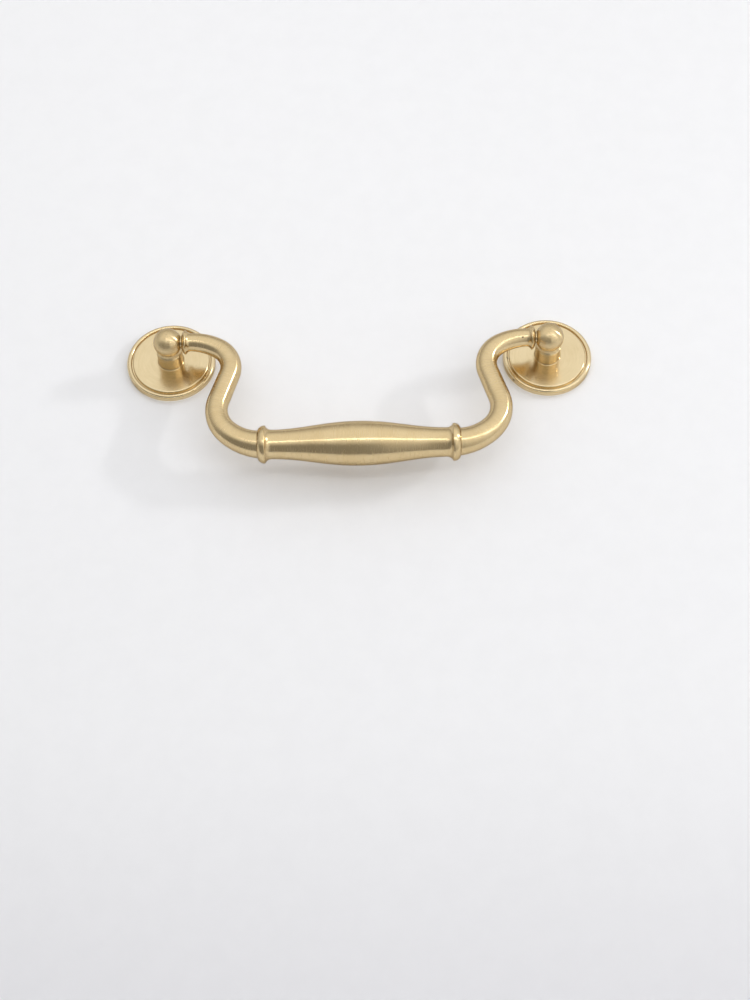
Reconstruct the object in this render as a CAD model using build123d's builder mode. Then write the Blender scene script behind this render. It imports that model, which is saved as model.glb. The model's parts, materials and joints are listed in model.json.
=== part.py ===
"""Drop pull: a bail with S-shaped arms and a turned grip, swinging on two ball-headed posts.

Frame: the drawer front is the plane Y = 0 and the pull stands out towards -Y. +Z is up, +X is to the
right, and the origin lies midway between the two screw holes.
"""

import os
from math import atan2, cos, degrees, radians, sin, sqrt, tan

from build123d import *

# Driving dimensions, in millimetres and degrees
post_spacing = 128.0  # between the two screw axes
pin_height = 13.2  # from the drawer front to the axis that the bail swings on
bail_drop = 40.7  # from that axis down to the axis of the grip

# Rosette
rosette_radius = 15.0
rosette_height = 2.7  # from its back to its flat face
rosette_back_chamfer = 0.25
rim_ledge = 0.12  # narrow step between the side wall and the rim bead
rim_bead_radius = 0.75
rim_bead_fall = 0.1  # the bead's crest lies this much below the face
rim_groove_width = 0.35
face_edge_radius = 0.5

# Post
stem_radius = 4.3
stem_height = 5.7  # from the rosette's face to the cove under the ball
stem_foot_flare = 0.35  # cove round its foot
stem_foot_edge = 0.12  # height of the foot's upright edge
ball_radius = 4.8
neck_radius = 3.55
spigot_radius = 3.0  # it ends flush with the rosette's back
spigot_chamfer = 0.3
seat_clearance = 0.1  # radial, between the spigot and the rosette's bore

# Drilled holes in the post
tap_core_radius = 1.65  # M4
tap_depth = 8.0
socket_lip = 0.2  # chamfer at the mouth of the hole for the bail's pin
drill_point_angle = 59.0  # half the angle of a drill's tip

# Bail: pins and end flares
pin_radius = 1.8
pin_length = 4.4
pin_tip_chamfer = 0.3
pin_tip_gap = 0.25  # from the pin's tip to the post's axis
pin_clearance = 0.3  # radial, in the post's hole
pin_end_room = 0.6  # from the pin's tip to the flat end of the hole
end_dome_length = 1.2
end_flare_length = 1.8
end_crest_radius = 4.1
end_nose_radius = 0.5

# Bail: arms, listed from the grip to the pin
arm_root_radius = 4.7
arm_lower_radius = 3.65
arm_upper_radius = 3.55
arm_end_radius = 3.0
lower_sweep_radius = 17.5
lower_sweep_turn = 46.0
lower_bend_radius = 12.0
arm_lean = 18.0  # the straight run leans inwards by this much from the vertical
upper_bend_radius = 9.2
upper_sweep_turn = 32.0
upper_sweep_radius = 18.0

# Bail: grip
grip_radius = 7.3
grip_neck_radius = 4.8
grip_crest_radius = 6.2
grip_flare_length = 2.3
grip_nose_radius = 0.5
grip_shoulder_length = 2.3  # rounded shoulder between the crest and the arm
shoulder_bury = 0.5  # the shoulder closes this far under the arm's skin
grip_crown_ease = 0.40  # share of the half grip over which its middle stays nearly level
grip_neck_ease = 0.36  # the same at its neck

os.makedirs("parts", exist_ok=True)


def drilled_hole(plane, radius, entry, depth):
    """Return the half section of a blind hole, to be revolved about the plane's own y axis.

    The wall runs from y = entry, on or outside the surface, to y = depth, and a drill point closes it.
    """
    point = radius / tan(radians(drill_point_angle))
    with BuildSketch(plane) as section:
        with BuildLine():
            Polyline((0, entry), (radius, entry), (radius, depth), (0, depth + point), close=True)
        make_face()
    return section.sketch


def countersink(plane, radius, mouth, entry):
    """Return the half section of a right-angled countersink that has the given radius at y = mouth."""
    with BuildSketch(plane) as section:
        with BuildLine():
            Polyline((0, entry), (radius + mouth - entry, entry), (0, mouth + radius), close=True)
        make_face()
    return section.sketch


def ogee(start, length, rise, nose_radius):
    """Draw a cove and a nose that climb from start to a crest, level at both ends, and return the nose."""
    turn = 2 * degrees(atan2(rise, length))
    cove_radius = length / sin(radians(turn)) - nose_radius
    cove = JernArc(start, (1, 0), cove_radius, turn)
    return JernArc(cove @ 1, cove % 1, nose_radius, -turn)


# Places along the bail, from the post inwards
pin_tip_x = post_spacing / 2 - pin_tip_gap
pin_root_x = pin_tip_x - pin_length
end_crest_x = pin_root_x - end_dome_length
arm_end_x = end_crest_x - end_flare_length

# The arm's headings, from the grip's axis, and the run that makes up the drop
sweep_heading = radians(lower_sweep_turn)
run_heading = radians(90 + arm_lean)
top_heading = radians(upper_sweep_turn)
arm_climb = (
    lower_sweep_radius * (1 - cos(sweep_heading))
    + lower_bend_radius * (cos(sweep_heading) - cos(run_heading))
    + upper_bend_radius * (cos(top_heading) - cos(run_heading))
    + upper_sweep_radius * (1 - cos(top_heading))
)
arm_run = (bail_drop - arm_climb) / sin(run_heading)
arm_reach = (
    lower_sweep_radius * sin(sweep_heading)
    + lower_bend_radius * (sin(run_heading) - sin(sweep_heading))
    + arm_run * cos(run_heading)
    + upper_bend_radius * (sin(run_heading) - sin(top_heading))
    + upper_sweep_radius * sin(top_heading)
)
grip_crest_x = arm_end_x - arm_reach
grip_neck_x = grip_crest_x - grip_flare_length
grip_shoulder_x = grip_crest_x + grip_shoulder_length

# Heights on the post, from the drawer front
shoulder_height = rosette_height + stem_height
neck_height = pin_height - sqrt(ball_radius**2 - neck_radius**2)

# Rosettes and posts, left and right
for name, side in (("left", -1), ("right", 1)):
    foot = (side * post_spacing / 2, 0, 0)
    turning_plane = Plane(origin=foot, x_dir=(1, 0, 0), z_dir=(0, 0, -1))
    turning_axis = Axis(foot, (0, -1, 0))

    bead_base = rosette_height - rim_bead_fall - rim_bead_radius
    bead_outer = rosette_radius - rim_ledge
    bead_inner = bead_outer - 2 * rim_bead_radius
    face_wall = bead_inner - rim_groove_width
    bore_radius = spigot_radius + seat_clearance
    with BuildPart() as rosette:
        with BuildSketch(turning_plane):
            with BuildLine():
                Polyline(
                    (bore_radius, 0),
                    (rosette_radius - rosette_back_chamfer, 0),
                    (rosette_radius, rosette_back_chamfer),
                    (rosette_radius, bead_base),
                    (bead_outer, bead_base),
                )
                bead_crest = (bead_outer - rim_bead_radius, bead_base + rim_bead_radius)
                ThreePointArc((bead_outer, bead_base), bead_crest, (bead_inner, bead_base))
                Polyline(
                    (bead_inner, bead_base),
                    (face_wall, bead_base),
                    (face_wall, rosette_height - face_edge_radius),
                )
                face_edge = JernArc(
                    (face_wall, rosette_height - face_edge_radius), (0, 1), face_edge_radius, 90
                )
                Polyline(face_edge @ 1, (bore_radius, rosette_height), (bore_radius, 0))
            make_face()
        revolve(axis=turning_axis)
    rosette.part.label = f"{name}_rosette"
    export_step(rosette.part, f"parts/{name}_rosette.step")

    hole_radius = pin_radius + pin_clearance
    lip_radius = hole_radius + socket_lip
    lip_mouth = -sqrt(ball_radius**2 - lip_radius**2)
    drill_start = -(ball_radius + socket_lip)
    pin_axis = Axis((foot[0], -pin_height, 0), (1, 0, 0))
    drilling_plane = Plane(origin=pin_axis.position, x_dir=(0, 0, -side), z_dir=(0, -1, 0))
    with BuildPart() as post:
        with BuildSketch(turning_plane):
            with BuildLine():
                foot_radius = stem_radius + stem_foot_flare
                Polyline(
                    (0, 0),
                    (spigot_radius - spigot_chamfer, 0),
                    (spigot_radius, spigot_chamfer),
                    (spigot_radius, rosette_height),
                    (foot_radius, rosette_height),
                    (foot_radius, rosette_height + stem_foot_edge),
                )
                foot_cove = JernArc(
                    (foot_radius, rosette_height + stem_foot_edge), (-1, 0), stem_foot_flare, -90
                )
                Line(foot_cove @ 1, (stem_radius, shoulder_height))
                TangentArc((neck_radius, neck_height), (stem_radius, shoulder_height), tangent=(0, -1))
                crown = (0, pin_height + ball_radius)
                ThreePointArc((neck_radius, neck_height), (ball_radius, pin_height), crown)
                Line(crown, (0, 0))
            make_face()
        revolve(axis=turning_axis)
        tapped = drilled_hole(turning_plane, tap_core_radius, 0, tap_depth)
        revolve(tapped.faces(), axis=turning_axis, mode=Mode.SUBTRACT)
        socket = drilled_hole(drilling_plane, hole_radius, drill_start, pin_end_room - pin_tip_gap)
        revolve(socket.faces(), axis=pin_axis, mode=Mode.SUBTRACT)
        lip = countersink(drilling_plane, lip_radius, lip_mouth, drill_start)
        revolve(lip.faces(), axis=pin_axis, mode=Mode.SUBTRACT)
    post.part.label = f"{name}_post"
    export_step(post.part, f"parts/{name}_post.step")

# Bail, hanging: the grip is turned, and each arm runs from it to an end flare and a pin
pin_plane = Plane.XZ.offset(pin_height)
grip_plane = Plane(origin=(0, -pin_height, -bail_drop), x_dir=(1, 0, 0), z_dir=(0, -1, 0))
with BuildPart() as bail:
    with BuildSketch(grip_plane):
        with BuildLine():
            waist = Bezier(
                (0, grip_radius),
                (grip_crown_ease * grip_neck_x, grip_radius),
                ((1 - grip_neck_ease) * grip_neck_x, grip_neck_radius),
                (grip_neck_x, grip_neck_radius),
            )
            crest = ogee(waist @ 1, grip_flare_length, grip_crest_radius - grip_neck_radius, grip_nose_radius)
            shoulder_end = (grip_shoulder_x, arm_root_radius - shoulder_bury)
            TangentArc(crest @ 1, shoulder_end, tangent=(1, 0))
            Polyline(shoulder_end, (grip_shoulder_x, 0), (0, 0), waist @ 0)
        make_face()
        mirror(about=Plane.YZ)
    revolve(axis=Axis(grip_plane.origin, (1, 0, 0)))

    with BuildLine(grip_plane) as arm_line:
        lower_sweep = JernArc((grip_crest_x, 0), (1, 0), lower_sweep_radius, lower_sweep_turn)
        lower_bend_turn = 90 + arm_lean - lower_sweep_turn
        lower_bend = JernArc(lower_sweep @ 1, lower_sweep % 1, lower_bend_radius, lower_bend_turn)
        run = Line(lower_bend @ 1, lower_bend @ 1 + (lower_bend % 1) * arm_run)
        upper_bend_turn = 90 + arm_lean - upper_sweep_turn
        upper_bend = JernArc(run @ 1, run % 1, upper_bend_radius, -upper_bend_turn)
        upper_sweep = JernArc(upper_bend @ 1, upper_bend % 1, upper_sweep_radius, -upper_sweep_turn)
    stations = (
        (lower_sweep @ 0, lower_sweep % 0, arm_root_radius),
        (lower_bend @ 1, lower_bend % 1, arm_lower_radius),
        (run @ 1, run % 1, arm_upper_radius),
        (upper_sweep @ 1, upper_sweep % 1, arm_end_radius),
    )
    for place, heading, radius in stations:
        with BuildSketch(Plane(origin=place, z_dir=heading)):
            Circle(radius)
    arm = sweep(path=arm_line.line, multisection=True)

    with BuildSketch(pin_plane):
        with BuildLine():
            end_rise = end_crest_radius - arm_end_radius
            crest = ogee((arm_end_x, arm_end_radius), end_flare_length, end_rise, end_nose_radius)
            TangentArc((pin_root_x, pin_radius), crest @ 1, tangent=(0, 1))
            Polyline(
                (pin_root_x, pin_radius),
                (pin_tip_x - pin_tip_chamfer, pin_radius),
                (pin_tip_x, pin_radius - pin_tip_chamfer),
                (pin_tip_x, 0),
                (arm_end_x, 0),
                (arm_end_x, arm_end_radius),
            )
        make_face()
    flare = revolve(axis=Axis(pin_plane.origin, (1, 0, 0)))
    mirror((arm, flare), about=Plane.YZ)
bail.part.label = "bail"
export_step(bail.part, "parts/bail.step")
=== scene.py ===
"""Dresses a satin brass drop pull: two turned rosettes, two ball-headed posts and a swinging bail.

The model's frame is kept: the drawer front is the plane Y = 0, the pull stands out towards -Y, +Z is up and
+X is to the right. Lengths are in metres, and angles are in degrees where their note doesn't say radians.
"""

import json
import logging
from dataclasses import dataclass, field
from enum import Enum
from math import cos, pi, radians, sin
from typing import Any

import bpy
from mathutils import Matrix, Vector

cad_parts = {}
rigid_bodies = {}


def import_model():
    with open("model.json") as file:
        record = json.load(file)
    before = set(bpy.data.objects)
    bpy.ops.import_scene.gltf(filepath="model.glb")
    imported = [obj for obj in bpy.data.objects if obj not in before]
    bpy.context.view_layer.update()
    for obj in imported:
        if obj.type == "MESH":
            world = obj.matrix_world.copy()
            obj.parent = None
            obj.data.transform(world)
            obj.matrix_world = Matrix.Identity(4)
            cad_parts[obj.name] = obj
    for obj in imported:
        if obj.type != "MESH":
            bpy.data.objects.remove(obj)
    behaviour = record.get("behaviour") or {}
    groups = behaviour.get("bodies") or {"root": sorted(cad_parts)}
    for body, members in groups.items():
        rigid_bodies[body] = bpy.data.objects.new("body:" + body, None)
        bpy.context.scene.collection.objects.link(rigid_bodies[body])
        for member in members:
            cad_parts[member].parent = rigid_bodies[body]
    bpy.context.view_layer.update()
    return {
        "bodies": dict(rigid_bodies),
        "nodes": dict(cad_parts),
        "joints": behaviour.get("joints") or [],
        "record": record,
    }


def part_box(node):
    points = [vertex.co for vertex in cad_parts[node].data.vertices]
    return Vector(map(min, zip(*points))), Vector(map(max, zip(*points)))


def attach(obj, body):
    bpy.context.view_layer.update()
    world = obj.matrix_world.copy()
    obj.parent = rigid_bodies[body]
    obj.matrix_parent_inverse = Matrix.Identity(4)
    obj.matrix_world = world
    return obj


MM = 0.001

log = logging.getLogger("drop_pull")

Colour = tuple[float, float, float]
Span = tuple[float, float]
Frame = dict[str, Any]
Socket = bpy.types.NodeSocket
Value = Socket | float
Triple = Socket | Vector | tuple[float, float, float]

# Square to the drawer front: the posts' axis, and the axis that the bail's bends turn round.
INWARD = Vector((0.0, 1.0, 0.0))

# The middle of a noise, where nearly all of its values lie.
NOISE_SPAN: Span = (0.3, 0.7)

# The shader counts the turn of its gloss in whole turns.
QUARTER_TURN = 0.25


def opaque(colour: Colour) -> tuple[float, float, float, float]:
    """Return a colour with full cover, as a socket takes it."""
    return (*colour, 1.0)


@dataclass(frozen=True)
class Grain:
    """How fine a noise is.

    Args:
        detail: How many finer layers are added to the broad one.
        rough: How strong the finer layers are.
    """

    detail: float
    rough: float = 0.5


class NodeBench:
    """Adds nodes to one node tree and wires them up.

    Args:
        tree: The node tree that the nodes are added to.
    """

    def __init__(self, tree: bpy.types.NodeTree) -> None:
        """Keep the tree to work on."""
        self.tree = tree

    def add(self, kind: str, **settings: object) -> bpy.types.Node:
        """Add one node.

        Args:
            kind: The node's type, such as "ShaderNodeMath".
            settings: Properties that are set on the node.

        Returns:
            The new node.
        """
        node = self.tree.nodes.new(kind)
        for name, value in settings.items():
            setattr(node, name, value)
        return node

    def feed(self, socket: Socket, value: object) -> None:
        """Link a socket to an output, or set it where the value is no socket.

        Args:
            socket: The input to feed.
            value: An output socket, a number, a vector or a colour.
        """
        if isinstance(value, bpy.types.NodeSocket):
            self.tree.links.new(value, socket)
        else:
            socket.default_value = value

    def operate(self, kind: str, operation: str, values: tuple[object, ...]) -> bpy.types.Node:
        """Add one node that works something out.

        Args:
            kind: The node's type.
            operation: What it does with its inputs.
            values: Its inputs, in order.

        Returns:
            The new node.
        """
        node = self.add(kind, operation=operation)
        for socket, value in zip(node.inputs, values):
            self.feed(socket, value)
        return node

    def math(self, operation: str, *values: Value) -> Socket:
        """Work out one number from numbers."""
        return self.operate("ShaderNodeMath", operation, values).outputs["Value"]

    def vector(self, operation: str, *values: Triple) -> Socket:
        """Work out one vector from vectors."""
        return self.operate("ShaderNodeVectorMath", operation, values).outputs["Vector"]

    def measure(self, operation: str, *values: Triple) -> Socket:
        """Work out one number from vectors, such as a length or a dot product."""
        return self.operate("ShaderNodeVectorMath", operation, values).outputs["Value"]

    def scaled(self, vector: Triple, factor: Value) -> Socket:
        """Scale a vector.

        Args:
            vector: The vector to scale.
            factor: What it is multiplied by.

        Returns:
            The scaled vector's socket.
        """
        node = self.add("ShaderNodeVectorMath", operation="SCALE")
        self.feed(node.inputs["Vector"], vector)
        self.feed(node.inputs["Scale"], factor)
        return node.outputs["Vector"]

    def split(self, vector: Socket) -> tuple[Socket, Socket, Socket]:
        """Take a vector apart.

        Args:
            vector: The vector to take apart.

        Returns:
            The sockets of its x, y and z.
        """
        node = self.add("ShaderNodeSeparateXYZ")
        self.feed(node.inputs["Vector"], vector)
        return node.outputs["X"], node.outputs["Y"], node.outputs["Z"]

    def join(self, x: Value, y: Value = 0.0, z: Value = 0.0) -> Socket:
        """Put a vector together.

        Args:
            x: Its x.
            y: Its y.
            z: Its z.

        Returns:
            The vector's socket.
        """
        node = self.add("ShaderNodeCombineXYZ")
        for socket, value in zip(node.inputs, (x, y, z)):
            self.feed(socket, value)
        return node.outputs["Vector"]

    def blend(self, kind: str, share: Value, first: object, second: object) -> Socket:
        """Mix two values of one kind.

        Args:
            kind: FLOAT, VECTOR or RGBA.
            share: How much of the second is taken.
            first: The value at share 0.
            second: The value at share 1.

        Returns:
            The socket of the mixed value.
        """
        node = self.add("ShaderNodeMix", data_type=kind, clamp_factor=True)
        name = {"FLOAT": "Float", "VECTOR": "Vector", "RGBA": "Color"}[kind]
        inputs = {socket.identifier: socket for socket in node.inputs}
        outputs = {socket.identifier: socket for socket in node.outputs}
        self.feed(inputs["Factor_Float"], share)
        self.feed(inputs[f"A_{name}"], first)
        self.feed(inputs[f"B_{name}"], second)
        return outputs[f"Result_{name}"]

    def ease(self, value: Value, span: Span, low: float = 0.0, high: float = 1.0) -> Socket:
        """Ease from one number to another as a value passes through a span.

        Args:
            value: The value that is followed.
            span: Where the easing starts and where it ends.
            low: The result at the start and before it.
            high: The result at the end and past it.

        Returns:
            The socket of the eased number.
        """
        node = self.add("ShaderNodeMapRange", interpolation_type="SMOOTHSTEP")
        start, end = span
        numbers = {"Value": value, "From Min": start, "From Max": end, "To Min": low, "To Max": high}
        for name, number in numbers.items():
            self.feed(node.inputs[name], number)
        return node.outputs["Result"]

    def noise(self, place: Triple, grain: Grain, size: float = 1.0) -> Socket:
        """Sample a cloud of noise.

        Args:
            place: Where it is sampled.
            grain: How fine it is.
            size: Size of its lumps.

        Returns:
            The socket of a number about 0.5.
        """
        node = self.add("ShaderNodeTexNoise")
        self.feed(node.inputs["Vector"], place)
        node.inputs["Scale"].default_value = 1 / size
        node.inputs["Detail"].default_value = grain.detail
        node.inputs["Roughness"].default_value = grain.rough
        return node.outputs["Fac"]

    def spread(self, noise: Value, low: float = 0.0, high: float = 1.0) -> Socket:
        """Stretch the middle of a noise from one number to another."""
        return self.ease(noise, NOISE_SPAN, low, high)

    def bump(self, height: Socket, depth: float, beneath: Socket | None = None) -> Socket:
        """Raise a relief on a surface.

        Args:
            height: How high the relief stands, from 0 to 1.
            depth: The height that 1 stands for.
            beneath: The normal of a broader relief that it lies on.

        Returns:
            The socket of the surface's normal.
        """
        node = self.add("ShaderNodeBump")
        node.inputs["Distance"].default_value = depth
        self.feed(node.inputs["Height"], height)
        if beneath is not None:
            self.feed(node.inputs["Normal"], beneath)
        return node.outputs["Normal"]

    def object_place(self) -> Socket:
        """Return the socket of the point in the model's frame."""
        return self.add("ShaderNodeTexCoord").outputs["Object"]

    def in_world(self, direction: Socket) -> Socket:
        """Turn a direction of the piece into one of the world, so that it follows the piece as it swings.

        Args:
            direction: A direction in the piece's own frame.

        Returns:
            The socket of the same direction in the world.
        """
        node = self.add("ShaderNodeVectorTransform", convert_from="OBJECT", convert_to="WORLD")
        node.vector_type = "VECTOR"
        self.feed(node.inputs["Vector"], direction)
        return node.outputs["Vector"]

    def shader(self) -> bpy.types.Node:
        """Return the shader that a new material comes with."""
        return self.tree.nodes["Principled BSDF"]

    def show(self, surface: Socket) -> None:
        """Make a shader's output the surface that is seen."""
        self.feed(self.tree.nodes["Material Output"].inputs["Surface"], surface)


def new_material(name: str) -> tuple[bpy.types.Material, NodeBench]:
    """Make a material with one plain shader.

    Args:
        name: The material's name.

    Returns:
        The material, and a bench for its nodes.
    """
    made = bpy.data.materials.new(name)
    made.use_nodes = True
    return made, NodeBench(made.node_tree)


def put_on(piece: bpy.types.Object, material: bpy.types.Material) -> None:
    """Give a piece one material all over.

    Args:
        piece: The piece to dress.
        material: What it is dressed in.
    """
    slots = piece.data.materials
    if not slots:
        slots.append(material)
    for index in range(len(slots)):
        slots[index] = material


def deselect_all() -> None:
    """Deselect everything, so that the next operator works on its own piece alone."""
    for thing in bpy.context.selected_objects:
        thing.select_set(False)


def foot(node: str) -> Vector:
    """Return the point of the drawer front that a round piece stands over."""
    low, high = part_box(node)
    return Vector(((low.x + high.x) / 2, 0.0, (low.z + high.z) / 2))


def hinge(frame: Frame, body: str) -> Vector:
    """Return a point on the axis that a body of the model swings on."""
    return Vector(next(joint["pos_m"] for joint in frame["joints"] if joint["child"] == body))


def bend_step(radius: float, heading: float, turn: float) -> Vector:
    """Find how far a bend carries the bail's line.

    Args:
        radius: Radius of the bend.
        heading: The line's heading where the bend starts, in radians from +X towards +Z.
        turn: How far the bend turns the line, in radians, counted up towards +Z.

    Returns:
        The way from the bend's start to its end.
    """
    end = heading + turn
    side = 1 if turn >= 0 else -1
    return side * radius * Vector((sin(end) - sin(heading), 0.0, cos(heading) - cos(end)))


class Lay(Enum):
    """The line that a piece was turned or brushed round."""

    POST = "post axis"
    BAIL = "bail line"


@dataclass(frozen=True)
class SatinBrass:
    """Brushed and lacquered brass with fine scratches round the piece.

    Args:
        name: The material's name.
        light: Colour of the metal where it is brushed clean.
        deep: Colour where the brush left it warmer.
        roughness: Middle roughness of the surface.
        roughness_play: How far the scratches move it each way.
        anisotropy: How much wider the gloss spreads across the scratches than along them.
        scratch: Width of the scratches that show.
        scratch_run: How far a scratch runs before it fades.
        scratch_depth: Height of the scratches in the bump.
        scratch_grain: How fine the scratches are.
        scratch_share: Share of the colour's change that follows the scratches, and not the soft patches.
        cloud: Size of the soft patches in the colour.
        cloud_grain: How fine the patches are.
        ripple: Length of the soft waves that polishing by hand leaves.
        ripple_depth: Height of the waves, or 0 for a piece that was turned true.
        ripple_grain: How fine the waves are.
        edge: Tint of the metal where it is seen edge on.
        lacquer: How much of the surface the clear lacquer covers.
        lacquer_roughness: Roughness of the lacquer.
        pit: Colour of a pit in the lacquer.
        pit_core: Share of a pit's radius that is darkest.
    """

    name: str
    light: Colour
    deep: Colour
    roughness: float
    roughness_play: float
    anisotropy: float
    scratch: float = 0.28 * MM
    scratch_run: float = 5.0 * MM
    scratch_depth: float = 0.003 * MM
    scratch_grain: Grain = Grain(3.0, 0.65)
    scratch_share: float = 0.5
    cloud: float = 6.0 * MM
    cloud_grain: Grain = Grain(3.0)
    ripple: float = 5.0 * MM
    ripple_depth: float = 0.0
    ripple_grain: Grain = Grain(0.0)
    edge: Colour = (0.42, 0.35, 0.26)
    lacquer: float = 0.45
    lacquer_roughness: float = 0.12
    pit: Colour = (0.05, 0.035, 0.02)
    pit_core: float = 0.4


BAIL_BRASS = SatinBrass(
    "bail_brass",
    light=(0.728, 0.567, 0.317),
    deep=(0.674, 0.509, 0.266),
    roughness=0.24,
    roughness_play=0.04,
    anisotropy=0.75,
    ripple_depth=0.06 * MM,
)
POST_BRASS = SatinBrass(
    "post_brass",
    light=(0.728, 0.567, 0.317),
    deep=(0.674, 0.509, 0.266),
    roughness=0.23,
    roughness_play=0.02,
    anisotropy=1.0,
)
# Painted reflection: the rosettes' brass is a paler copy of the same brass, lightened to stand in for the
# bright overhead light that their faces reflect.
ROSETTE_BRASS_WITH_PAINTED_REFLECTION = SatinBrass(
    "rosette_brass",
    light=(0.80, 0.65, 0.395),
    deep=(0.75, 0.595, 0.345),
    roughness=0.21,
    roughness_play=0.03,
    anisotropy=0.75,
)


@dataclass(frozen=True)
class Pit:
    """A small dark pit in the lacquer.

    Args:
        place: Its middle, in the model's frame.
        size: Its radius.
    """

    place: Vector
    size: float


@dataclass(frozen=True)
class Stretch:
    """One stretch of the bail's line, on the plane Y = 0 with x counted out from the middle.

    Args:
        start: Where it starts.
        heading: Its heading there, in radians from +X towards +Z.
        travelled: Distance along the bail's line at its start.
        radius: Radius of the bend, or 0 for a straight stretch.
        turn: How far the bend turns the line, in radians, counted up towards +Z.
    """

    start: Vector
    heading: float
    travelled: float
    radius: float = 0.0
    turn: float = 0.0

    def forward(self) -> Vector:
        """Return the heading as a unit vector."""
        return Vector((cos(self.heading), 0.0, sin(self.heading)))

    def outward(self) -> Vector:
        """Return the unit vector from the bend's centre to the start."""
        side = 1 if self.turn >= 0 else -1
        return side * Vector((sin(self.heading), 0.0, -cos(self.heading)))

    def centre(self) -> Vector:
        """Return the bend's centre."""
        return self.start - self.radius * self.outward()


@dataclass
class Brush:
    """Works a finish into a material that follows one piece's own lines.

    Args:
        finish: The brass to use.
        lay: The line that the scratches run round.
        centre: A point on that line.
        line: The bail's line, where the scratches run round it.
        pits: Dark pits on the piece.
    """

    finish: SatinBrass
    lay: Lay
    centre: Vector
    line: list[Stretch] = field(default_factory=list)
    pits: list[Pit] = field(default_factory=list)

    def material(self) -> bpy.types.Material:
        """Build the material.

        Returns:
            A new material.
        """
        finish = self.finish
        made, bench = new_material(finish.name)
        shader = bench.shader()
        place = bench.vector("SUBTRACT", bench.object_place(), self.centre)
        if self.lay is Lay.POST:
            tangent, across = self.round_post(bench, place)
            shader.inputs["Anisotropic Rotation"].default_value = QUARTER_TURN
        else:
            tangent, across = self.round_bail(bench, place)
        along = bench.scaled(place, 1 / finish.scratch_run)
        streak_place = bench.vector("ADD", bench.scaled(across, 1 / finish.scratch), along)
        streak = bench.noise(streak_place, finish.scratch_grain)
        dullest = finish.roughness + finish.roughness_play
        inputs = {
            "Base Color": self.colour(bench, place, streak),
            "Roughness": bench.spread(streak, finish.roughness - finish.roughness_play, dullest),
            "Normal": self.relief(bench, place, streak),
            "Tangent": bench.in_world(tangent),
            "Metallic": 1.0,
            "Specular Tint": opaque(finish.edge),
            "Anisotropic": finish.anisotropy,
            "Coat Weight": finish.lacquer,
            "Coat Roughness": finish.lacquer_roughness,
        }
        for name, value in inputs.items():
            bench.feed(shader.inputs[name], value)
        return made

    def colour(self, bench: NodeBench, place: Socket, streak: Socket) -> Socket:
        """Colour the brass by its scratches, its soft patches and its pits.

        Args:
            bench: Where the nodes are added.
            place: The point, from the middle of the piece.
            streak: The noise of the scratches.

        Returns:
            The colour's socket.
        """
        finish = self.finish
        cloud = bench.noise(place, finish.cloud_grain, finish.cloud)
        tone = bench.spread(bench.blend("FLOAT", finish.scratch_share, cloud, streak))
        colour = bench.blend("RGBA", tone, opaque(finish.light), opaque(finish.deep))
        for pit in self.pits:
            away = bench.measure("DISTANCE", place, pit.place - self.centre)
            dark = bench.ease(away, (pit.size * finish.pit_core, pit.size), 1.0, 0.0)
            colour = bench.blend("RGBA", dark, colour, opaque(finish.pit))
        return colour

    def relief(self, bench: NodeBench, place: Socket, streak: Socket) -> Socket:
        """Raise the scratches, and the soft waves beneath them where the piece has some.

        Args:
            bench: Where the nodes are added.
            place: The point, from the middle of the piece.
            streak: The noise of the scratches.

        Returns:
            The socket of the surface's normal.
        """
        finish = self.finish
        waves = None
        if finish.ripple_depth:
            wave = bench.noise(place, finish.ripple_grain, finish.ripple)
            waves = bench.bump(wave, finish.ripple_depth)
        return bench.bump(streak, finish.scratch_depth, waves)

    def round_post(self, bench: NodeBench, place: Socket) -> tuple[Socket, Socket]:
        """Lay the scratches round the post's axis.

        Args:
            bench: Where the nodes are added.
            place: The point, from the axis.

        Returns:
            The direction of the scratches, and a vector that changes only across them.
        """
        round_axis = bench.vector("CROSS_PRODUCT", INWARD, place)
        out = bench.measure("LENGTH", round_axis)
        height = bench.measure("DOT_PRODUCT", place, INWARD)
        return round_axis, bench.join(out, height)

    def round_bail(self, bench: NodeBench, place: Socket) -> tuple[Socket, Socket]:
        """Lay the scratches round the bail's line.

        Args:
            bench: Where the nodes are added.
            place: The point, from the middle of the axis that the bail swings on.

        Returns:
            The bail's heading, which lies across the scratches, and a vector that changes only across them.
        """
        x, _, z = bench.split(place)
        point = bench.join(bench.math("ABSOLUTE", x), z=z)
        grip, *arm = self.line
        heading: Triple = grip.forward()
        travelled: Value = bench.measure("DOT_PRODUCT", point, grip.forward())
        for stretch in arm:
            way = bench.vector("SUBTRACT", point, stretch.start)
            ahead = bench.measure("DOT_PRODUCT", way, stretch.forward())
            reached = bench.math("GREATER_THAN", ahead, 0.0)
            if stretch.radius:
                spoke = bench.vector("SUBTRACT", point, stretch.centre())
                swung = bench.math(
                    "ARCTAN2",
                    bench.measure("DOT_PRODUCT", spoke, stretch.forward()),
                    bench.measure("DOT_PRODUCT", spoke, stretch.outward()),
                )
                here = bench.math("MULTIPLY_ADD", swung, stretch.radius, stretch.travelled)
                forward = bench.vector("NORMALIZE", bench.vector("CROSS_PRODUCT", INWARD, spoke))
            else:
                here = bench.math("ADD", ahead, stretch.travelled)
                forward = stretch.forward()
            travelled = bench.blend("FLOAT", reached, travelled, here)
            heading = bench.blend("VECTOR", reached, heading, forward)
        mirror = bench.join(bench.math("SIGN", x), 1.0, 1.0)
        return bench.vector("MULTIPLY", heading, mirror), bench.join(travelled)


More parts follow.
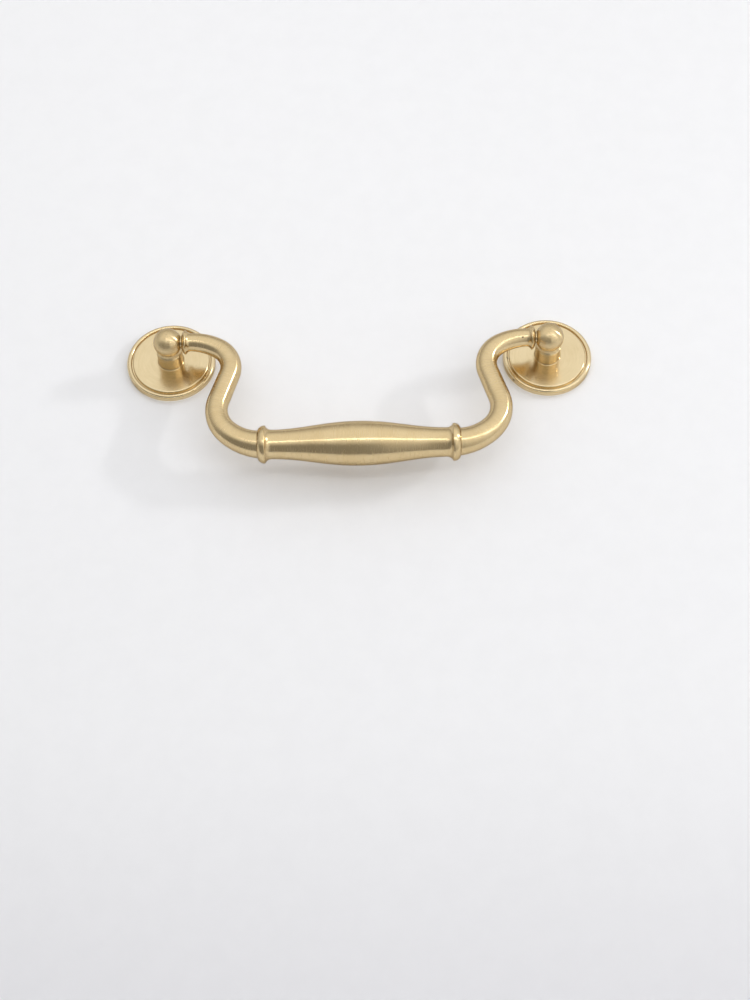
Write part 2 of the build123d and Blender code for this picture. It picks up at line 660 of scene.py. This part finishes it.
@dataclass
class Bail:
    """The swinging bail: its turned grip, its two S-shaped arms and its pins.

    Args:
        node: The piece's name in the model, and its body's.
        drop: How far the grip's line hangs below the pins' axis.
        arm_end: Distance from the middle to the end of an arm, where its flare starts.
        lower_sweep_radius: Radius of the long sweep beside the grip.
        lower_sweep_turn: How far that sweep turns.
        lower_bend_radius: Radius of the tighter bend after it.
        arm_lean: How far the straight of the arm leans in over the grip.
        upper_bend_radius: Radius of the tight bend at the top of the arm.
        upper_sweep_turn: How far the last sweep turns.
        upper_sweep_radius: Radius of the last sweep, which ends level with the pin.
        arm_end_radius: Radius of the arm at its end.
        pit_from_end: How far the dark pit lies from the end of the right arm.
        pit_slope: How far round from the front, downwards, the pit lies.
        pit_size: Radius of the pit.
    """

    node: str = "bail"
    drop: float = 40.7 * MM
    arm_end: float = 56.35 * MM
    lower_sweep_radius: float = 17.5 * MM
    lower_sweep_turn: float = 46.0
    lower_bend_radius: float = 12.0 * MM
    arm_lean: float = 18.0
    upper_bend_radius: float = 9.2 * MM
    upper_sweep_turn: float = 32.0
    upper_sweep_radius: float = 18.0 * MM
    arm_end_radius: float = 3.0 * MM
    pit_from_end: float = 1.5 * MM
    pit_slope: float = 32.0
    pit_size: float = 0.42 * MM

    def line(self) -> list[Stretch]:
        """Follow the bail's line from the middle of the grip to the pin.

        Returns:
            The stretches of the line, in order. The first is the grip and the last is the pin.
        """
        lean = pi / 2 + radians(self.arm_lean)
        lower_turn = radians(self.lower_sweep_turn)
        upper_turn = radians(self.upper_sweep_turn)
        straight = (0.0, 0.0)
        bends = (
            (self.lower_sweep_radius, lower_turn),
            (self.lower_bend_radius, lean - lower_turn),
            straight,
            (self.upper_bend_radius, upper_turn - lean),
            (self.upper_sweep_radius, -upper_turn),
        )
        covered = Vector()
        heading = 0.0
        for radius, turn in bends:
            covered += bend_step(radius, heading, turn)
            heading += turn
        run = (self.drop - covered.z) / sin(lean)
        sweep_start = self.arm_end - covered.x - run * cos(lean)

        stretches = [Stretch(Vector((0.0, 0.0, -self.drop)), 0.0, 0.0)]
        start = Vector((sweep_start, 0.0, -self.drop))
        travelled = sweep_start
        heading = 0.0
        for radius, turn in bends:
            stretch = Stretch(start, heading, travelled, radius, turn)
            stretches.append(stretch)
            if radius:
                start = start + bend_step(radius, heading, turn)
                travelled += radius * abs(turn)
            else:
                start = start + run * stretch.forward()
                travelled += run
            heading += turn
        stretches.append(Stretch(start, 0.0, travelled))
        return stretches

    def arm_pit(self, pin_axis: Vector) -> Pit:
        """Place the dark pit on the front of the right arm, just short of its end.

        Args:
            pin_axis: The middle of the axis that the bail swings on.

        Returns:
            The pit.
        """
        slope = radians(self.pit_slope)
        along = Vector((self.arm_end - self.pit_from_end, 0.0, 0.0))
        out = self.arm_end_radius * Vector((0.0, -cos(slope), -sin(slope)))
        return Pit(pin_axis + along + out, self.pit_size)

    def dress(self, frame: Frame, finish: SatinBrass) -> None:
        """Give the bail its brass.

        Args:
            frame: The model.
            finish: The brass to use.
        """
        pin_axis = hinge(frame, self.node)
        brush = Brush(finish, Lay.BAIL, pin_axis, self.line(), [self.arm_pit(pin_axis)])
        put_on(frame["nodes"][self.node], brush.material())


@dataclass(frozen=True)
class RimPit:
    """Where a dark pit lies on a rosette's rim.

    Args:
        angle: How far round the rim it lies, from +X towards +Z.
        radius: How far it lies from the rosette's axis.
        height: How far it lies off the drawer front.
        size: Its radius.
    """

    angle: float
    radius: float
    height: float
    size: float = 0.6 * MM

    def pit(self, centre: Vector) -> Pit:
        """Place the pit.

        Args:
            centre: The middle of the rosette's foot.

        Returns:
            The pit.
        """
        turn = radians(self.angle)
        out = Vector((self.radius * cos(turn), -self.height, self.radius * sin(turn)))
        return Pit(centre + out, self.size)


@dataclass
class Rosette:
    """A turned rosette with a beaded rim.

    Args:
        node: The piece's name in the model.
        rim_pits: Dark pits on its rim.
    """

    node: str
    rim_pits: tuple[RimPit, ...] = ()

    def dress(self, frame: Frame, finish: SatinBrass) -> None:
        """Give the rosette its brass.

        Args:
            frame: The model.
            finish: The brass to use.
        """
        centre = foot(self.node)
        pits = [rim_pit.pit(centre) for rim_pit in self.rim_pits]
        put_on(frame["nodes"][self.node], Brush(finish, Lay.POST, centre, pits=pits).material())


@dataclass
class Post:
    """A ball-headed post with a tapped hole in its foot.

    Args:
        node: The piece's name in the model.
        rosette: The rosette that it stands in.
        thread: Name of the thread's ridge in its hole.
        body: The body that it belongs to.
        slot: The record's material slot of the thread. It is not used.
        core_radius: Radius of the hole.
        pitch: Distance from one turn of the thread to the next.
        ridge_height: How far the ridge stands in from its root.
        ridge_root: How far the root lies within the hole's wall.
        ridge_share: Share of the pitch that the root takes up.
        turns: How many turns the thread has.
        steps: How many steps a turn has.
        mouth_room: How far from the hole's mouth the thread starts.
        smooth_angle: The sharpest edge that is shaded smooth.
    """

    node: str
    rosette: str
    thread: str
    body: str = "mounting"
    slot: str = "post_brass"
    core_radius: float = 1.65 * MM
    pitch: float = 0.7 * MM
    ridge_height: float = 0.22 * MM
    ridge_root: float = 0.03 * MM
    ridge_share: float = 0.9
    turns: int = 9
    steps: int = 40
    mouth_room: float = 0.35 * MM
    smooth_angle: float = 40.0

    def cut_thread(self) -> bpy.types.Object:
        """Model the thread's ridge as a screwed triangle that stands on the hole's wall.

        Returns:
            The ridge, in place.
        """
        deselect_all()
        bpy.ops.mesh.primitive_circle_add(vertices=3, radius=self.ridge_height, fill_type="NOTHING")
        ridge = bpy.context.object
        ridge.name = self.thread
        ridge.data.name = self.thread
        root = self.core_radius + self.ridge_root
        half = self.ridge_share * self.pitch / 2
        corners = ((root, 0.0, -half), (root - self.ridge_height, 0.0, 0.0), (root, 0.0, half))
        for vertex, corner in zip(ridge.data.vertices, corners):
            vertex.co = corner
        screw = ridge.modifiers.new("thread", "SCREW")
        screw.axis = "Z"
        screw.screw_offset = self.pitch
        screw.iterations = self.turns
        screw.steps = self.steps
        screw.render_steps = self.steps
        screw.use_merge_vertices = True
        bpy.ops.object.modifier_apply(modifier=screw.name)
        bpy.ops.object.mode_set(mode="EDIT")
        bpy.ops.mesh.select_all(action="SELECT")
        bpy.ops.mesh.fill_holes(sides=0)
        bpy.ops.mesh.select_all(action="SELECT")
        bpy.ops.mesh.normals_make_consistent(inside=False)
        bpy.ops.object.mode_set(mode="OBJECT")
        ridge.rotation_euler = (pi / 2, 0.0, 0.0)
        ridge.location = foot(self.rosette) - self.mouth_room * INWARD
        bpy.ops.object.transform_apply(location=True, rotation=True, scale=True)
        bpy.ops.object.shade_smooth_by_angle(angle=radians(self.smooth_angle))
        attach(ridge, self.body)
        return ridge

    def dress(self, frame: Frame, finish: SatinBrass) -> None:
        """Give the post and its thread their brass.

        Args:
            frame: The model.
            finish: The brass to use.
        """
        brass = Brush(finish, Lay.POST, foot(self.rosette)).material()
        put_on(frame["nodes"][self.node], brass)
        put_on(self.cut_thread(), brass)


@dataclass(frozen=True)
class Lamp:
    """A soft rectangular lamp that faces the pull.

    Args:
        name: The lamp's name.
        towards: Direction from the pull to the lamp.
        distance: How far away it is.
        size: Its width and height.
        power: Its power in watts.
    """

    name: str
    towards: tuple[float, float, float]
    distance: float
    size: tuple[float, float]
    power: float

    def hang(self, aim: Vector) -> None:
        """Hang the lamp.

        Args:
            aim: The point that it faces.
        """
        light = bpy.data.lights.new(self.name, "AREA")
        light.shape = "RECTANGLE"
        light.size, light.size_y = self.size
        light.energy = self.power
        lamp = bpy.data.objects.new(self.name, light)
        bpy.context.scene.collection.objects.link(lamp)
        way = Vector(self.towards).normalized()
        lamp.location = aim + way * self.distance
        lamp.rotation_euler = way.to_track_quat("Z", "Y").to_euler()


@dataclass(frozen=True)
class LightTent:
    """A glowing half dome of cloth in front of the pull, which the camera doesn't see.

    Its light grows from beside the drawer front to straight out from it, and is darkest where the viewer
    stands. A narrow bright strip crosses it overhead. Places on the cloth are shares of the dome's radius.

    Args:
        radius: Radius of the dome.
        segments: How many faces the dome has round its poles.
        rings: How many rows of faces it has from pole to pole.
        low: Its light beside the drawer front.
        high: Its light straight out from the drawer front.
        rise: How far out from the drawer front the light starts and stops growing.
        slant: How much more light comes from the far right than from the middle.
        shade: Its light where the viewer stands.
        shade_rise: How far towards the viewer the shade starts and is full.
        shade_left: Where the shade starts and is full at its left edge.
        shade_right: Where the shade is full and ends at its right edge.
        shade_lean: How much nearer to overhead the shade starts for each step to the left.
        shade_lean_start: Where it starts to do so.
        strip: Extra light of the narrow strip overhead.
        strip_place: How far the strip lies towards the viewer.
        strip_width: Half the strip's width.
        strip_left: Where the strip starts and is full at its left end.
        strip_right: Where the strip is full and ends at its right end.
    """

    radius: float = 0.7
    segments: int = 32
    rings: int = 16
    low: float = 0.49
    high: float = 1.03
    rise: Span = (0.1, 0.9)
    slant: float = 0.36
    shade: float = 0.285
    shade_rise: Span = (0.31, 0.76)
    shade_left: Span = (-1.05, -0.85)
    shade_right: Span = (0.20, 0.36)
    shade_lean: float = 0.6
    shade_lean_start: float = -0.25
    strip: float = 4.9
    strip_place: float = 0.215
    strip_width: float = 0.045
    strip_left: Span = (-0.42, -0.18)
    strip_right: Span = (0.72, 0.96)

    def raise_dome(self) -> None:
        """Model the dome and make it glow."""
        deselect_all()
        bpy.ops.mesh.primitive_uv_sphere_add(
            segments=self.segments, ring_count=self.rings, radius=self.radius
        )
        dome = bpy.context.object
        dome.name = "light_tent"
        bpy.ops.object.mode_set(mode="EDIT")
        bpy.ops.mesh.select_all(action="SELECT")
        bpy.ops.mesh.bisect(plane_co=(0.0, 0.0, 0.0), plane_no=INWARD, clear_outer=True)
        bpy.ops.object.mode_set(mode="OBJECT")
        dome.visible_camera = False
        dome.visible_shadow = False
        put_on(dome, self.cloth())

    def cloth(self) -> bpy.types.Material:
        """Build the glowing cloth.

        Returns:
            A material whose light follows the place on the dome.
        """
        made, bench = new_material("light_tent")
        bench.tree.nodes.remove(bench.shader())
        right, inward, up = bench.split(bench.vector("NORMALIZE", bench.object_place()))
        out = bench.math("MULTIPLY", inward, -1.0)
        viewer = bench.math("MULTIPLY", up, -1.0)
        light = self.shaded_sky(bench, right, out, viewer)
        apart = bench.math("ABSOLUTE", bench.math("SUBTRACT", viewer, self.strip_place))
        strip = bench.math("MULTIPLY", bench.ease(apart, (0.0, self.strip_width), 1.0, 0.0), self.strip)
        ends = self.between(bench, right, self.strip_left, self.strip_right)
        glow = bench.add("ShaderNodeEmission")
        bench.feed(glow.inputs["Strength"], bench.math("MULTIPLY_ADD", strip, ends, light))
        bench.show(glow.outputs["Emission"])
        return made

    def shaded_sky(self, bench: NodeBench, right: Socket, out: Socket, viewer: Socket) -> Socket:
        """Light the cloth broadly, and shade it where the viewer stands.

        Args:
            bench: Where the nodes are added.
            right: How far to the right the place on the cloth lies.
            out: How far out from the drawer front it lies.
            viewer: How far towards the viewer it lies.

        Returns:
            The socket of the light's strength.
        """
        aside = bench.math("MAXIMUM", right, 0.0)
        sky = bench.ease(out, self.rise, self.low, self.high)
        sky = bench.math("MULTIPLY_ADD", bench.math("MULTIPLY", aside, aside), self.slant, sky)
        left = bench.math("MAXIMUM", bench.math("SUBTRACT", self.shade_lean_start, right), 0.0)
        near = bench.math("MULTIPLY_ADD", left, self.shade_lean, viewer)
        width = self.between(bench, right, self.shade_left, self.shade_right)
        shaded = bench.math("MULTIPLY", bench.ease(near, self.shade_rise), width)
        return bench.blend("FLOAT", shaded, sky, self.shade)

    def between(self, bench: NodeBench, right: Socket, left_end: Span, right_end: Span) -> Socket:
        """Fade a band of the cloth in at its left end and out at its right end.

        Args:
            bench: Where the nodes are added.
            right: How far to the right the place on the cloth lies.
            left_end: Where the band starts and is full.
            right_end: Where the band is full and ends.

        Returns:
            The socket of a number from 0 to 1.
        """
        return bench.math("MULTIPLY", bench.ease(right, left_end), bench.ease(right, right_end, 1.0, 0.0))


@dataclass
class Studio:
    """The pale wall behind the pull, the light and the camera.

    Args:
        tent: The glowing cloth in front of the pull.
        window: The lamp that casts the pull's shadow.
        back: The lamp behind the wall, which lights the rosettes' backs.
        lamp_aim: The point that the lamps face.
        rosettes: The pieces that stand on the wall.
        seat_margin: How far the wall reaches in under a rosette's edge.
        wall_gap: How far the wall stands behind the rosettes' backs.
        wall_size: Length of the wall's sides.
        wall_top: The wall's colour from the pull upwards.
        wall_foot_shade: Its colour at the foot of the picture, darker than the top as painted shade.
        wall_fade: The heights at which it has the painted shade of its foot and its own colour.
        wall_side: Where its tone starts and stops changing from left to right.
        wall_side_shade: Its tone at those two places; the darker tone on the right is painted shade that
            evens out the stronger light from the right.
        wall_cloud: Size of the soft patches in its tone.
        wall_cloud_grain: How fine the patches are.
        wall_cloud_tone: Tone of the darkest patches and of the lightest.
        wall_roughness: Roughness of its paint.
        wall_specular: How much its paint shines.
        room_colour: Colour of the even light in the room.
        aim: The point that the camera faces.
        camera_distance: How far from that point the camera stands.
        camera_azimuth: How far to the right of it the camera stands.
        camera_elevation: How far above it, where below is less than 0.
        camera_roll: How far the camera is tilted.
        lens: The lens's focal length in millimetres.
        sensor: Height and width of the camera's sensor in millimetres.
    """

    tent: LightTent = LightTent()
    window: Lamp = Lamp("window_lamp", (0.87, -0.41, 0.26), 4.0, (0.14, 0.45), 29.0)
    back: Lamp = Lamp("back_lamp", (0.52, 0.80, 0.12), 1.5, (0.35, 0.35), 5.0)
    lamp_aim: tuple[float, float, float] = (0.0, 0.0, -25.0 * MM)
    rosettes: tuple[str, ...] = ("left_rosette", "right_rosette")
    seat_margin: float = 0.2 * MM
    wall_gap: float = 0.3 * MM
    wall_size: float = 6.0
    wall_top: Colour = (0.945, 0.945, 0.96)
    wall_foot_shade: Colour = (0.835, 0.83, 0.86)
    wall_fade: Span = (-0.26, -0.12)
    wall_side: Span = (-0.14, 0.14)
    wall_side_shade: tuple[float, float] = (1.0, 0.955)
    wall_cloud: float = 9.0 * MM
    wall_cloud_grain: Grain = Grain(5.0, 0.6)
    wall_cloud_tone: tuple[float, float] = (0.985, 1.0)
    wall_roughness: float = 0.9
    wall_specular: float = 0.1
    room_colour: Colour = (0.86, 0.86, 0.87)
    aim: tuple[float, float, float] = (4.87 * MM, 0.0, -54.44 * MM)
    camera_distance: float = 602.72 * MM
    camera_azimuth: float = 0.303
    camera_elevation: float = -29.913
    camera_roll: float = -0.659
    lens: float = 66.38
    sensor: float = 36.0

    def build(self) -> None:
        """Set up the wall, the room, the lights and the camera."""
        self.raise_wall()
        self.paint_room()
        self.tent.raise_dome()
        for lamp in (self.window, self.back):
            lamp.hang(Vector(self.lamp_aim))
        self.set_camera()
        bpy.context.scene.view_settings.view_transform = "Standard"

    def raise_wall(self) -> None:
        """Stand a pale wall behind the pull."""
        deselect_all()
        bpy.ops.mesh.primitive_plane_add(
            size=self.wall_size, location=self.wall_gap * INWARD, rotation=(pi / 2, 0.0, 0.0)
        )
        wall = bpy.context.object
        wall.name = "wall"
        bpy.ops.object.transform_apply(location=True, rotation=True, scale=True)
        put_on(wall, self.wall_paint())

    def wall_paint(self) -> bpy.types.Material:
        """Build the wall's paint, which is clear from behind and where the rosettes cover it.

        Returns:
            A new material.
        """
        made, bench = new_material("wall_paint")
        shader = bench.shader()
        shader.inputs["Roughness"].default_value = self.wall_roughness
        shader.inputs["Specular IOR Level"].default_value = self.wall_specular
        place = bench.object_place()
        x, _, z = bench.split(place)
        # Painted shade: the wall's colour darkens towards the foot of the picture.
        height = bench.ease(z, self.wall_fade)
        colour = bench.blend("RGBA", height, opaque(self.wall_foot_shade), opaque(self.wall_top))
        cloud = bench.noise(place, self.wall_cloud_grain, self.wall_cloud)
        # Painted shade: the wall's colour darkens towards the right, against the stronger light from the
        # right.
        side = bench.ease(x, self.wall_side, *self.wall_side_shade)
        tone = bench.math("MULTIPLY", bench.spread(cloud, *self.wall_cloud_tone), side)
        bench.feed(shader.inputs["Base Color"], bench.scaled(colour, tone))
        clear = bench.add("ShaderNodeMixShader")
        share, painted, bare = clear.inputs
        bench.feed(share, self.openings(bench, place))
        bench.feed(painted, shader.outputs["BSDF"])
        bench.feed(bare, bench.add("ShaderNodeBsdfTransparent").outputs["BSDF"])
        bench.show(clear.outputs["Shader"])
        return made

    def openings(self, bench: NodeBench, place: Socket) -> Socket:
        """Find where the wall is clear.

        Args:
            bench: Where the nodes are added.
            place: The point on the wall.

        Returns:
            The socket of a number that is 1 where the wall is clear and 0 elsewhere.
        """
        opened = bench.add("ShaderNodeNewGeometry").outputs["Backfacing"]
        for rosette in self.rosettes:
            low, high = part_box(rosette)
            seat_radius = (high.x - low.x) / 2 - self.seat_margin
            away = bench.measure("DISTANCE", place, foot(rosette) + self.wall_gap * INWARD)
            opened = bench.math("MAXIMUM", opened, bench.math("LESS_THAN", away, seat_radius))
        return opened

    def paint_room(self) -> None:
        """Fill the room behind the wall with an even pale light."""
        world = bpy.data.worlds.new("room")
        world.use_nodes = True
        bpy.context.scene.world = world
        world.node_tree.nodes["Background"].inputs["Color"].default_value = opaque(self.room_colour)

    def set_camera(self) -> None:
        """Stand the camera where the photograph was taken from."""
        azimuth = radians(self.camera_azimuth)
        elevation = radians(self.camera_elevation)
        level = cos(elevation)
        back = Vector((sin(azimuth) * level, -cos(azimuth) * level, sin(elevation)))
        data = bpy.data.cameras.new("camera")
        data.sensor_fit = "VERTICAL"
        data.sensor_height = self.sensor
        data.sensor_width = self.sensor
        data.lens = self.lens
        camera = bpy.data.objects.new("camera", data)
        bpy.context.scene.collection.objects.link(camera)
        place = Matrix.Translation(Vector(self.aim) + back * self.camera_distance)
        turn = back.to_track_quat("Z", "Y").to_matrix().to_4x4()
        camera.matrix_world = place @ turn @ Matrix.Rotation(radians(self.camera_roll), 4, "Z")
        bpy.context.scene.camera = camera


RIM_PITS = {
    "left": (),
    "right": (RimPit(183.0, 13.5 * MM, 2.25 * MM), RimPit(218.0, 15.0 * MM, 1.5 * MM)),
}


def main() -> None:
    """Load the model, dress each piece and set up the studio."""
    logging.basicConfig(level=logging.INFO, format="%(name)s: %(message)s")
    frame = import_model()
    bail = Bail()
    bail.dress(frame, BAIL_BRASS)
    log.info("dressed %s", bail.node)
    for side, rim_pits in RIM_PITS.items():
        rosette = Rosette(f"{side}_rosette", rim_pits)
        rosette.dress(frame, ROSETTE_BRASS_WITH_PAINTED_REFLECTION)
        log.info("dressed %s", rosette.node)
        post = Post(f"{side}_post", rosette.node, f"{side}_thread")
        post.dress(frame, POST_BRASS)
        log.info("dressed %s and cut %s", post.node, post.thread)
    Studio().build()
    log.info("set up the studio")


if __name__ == "__main__":
    main()
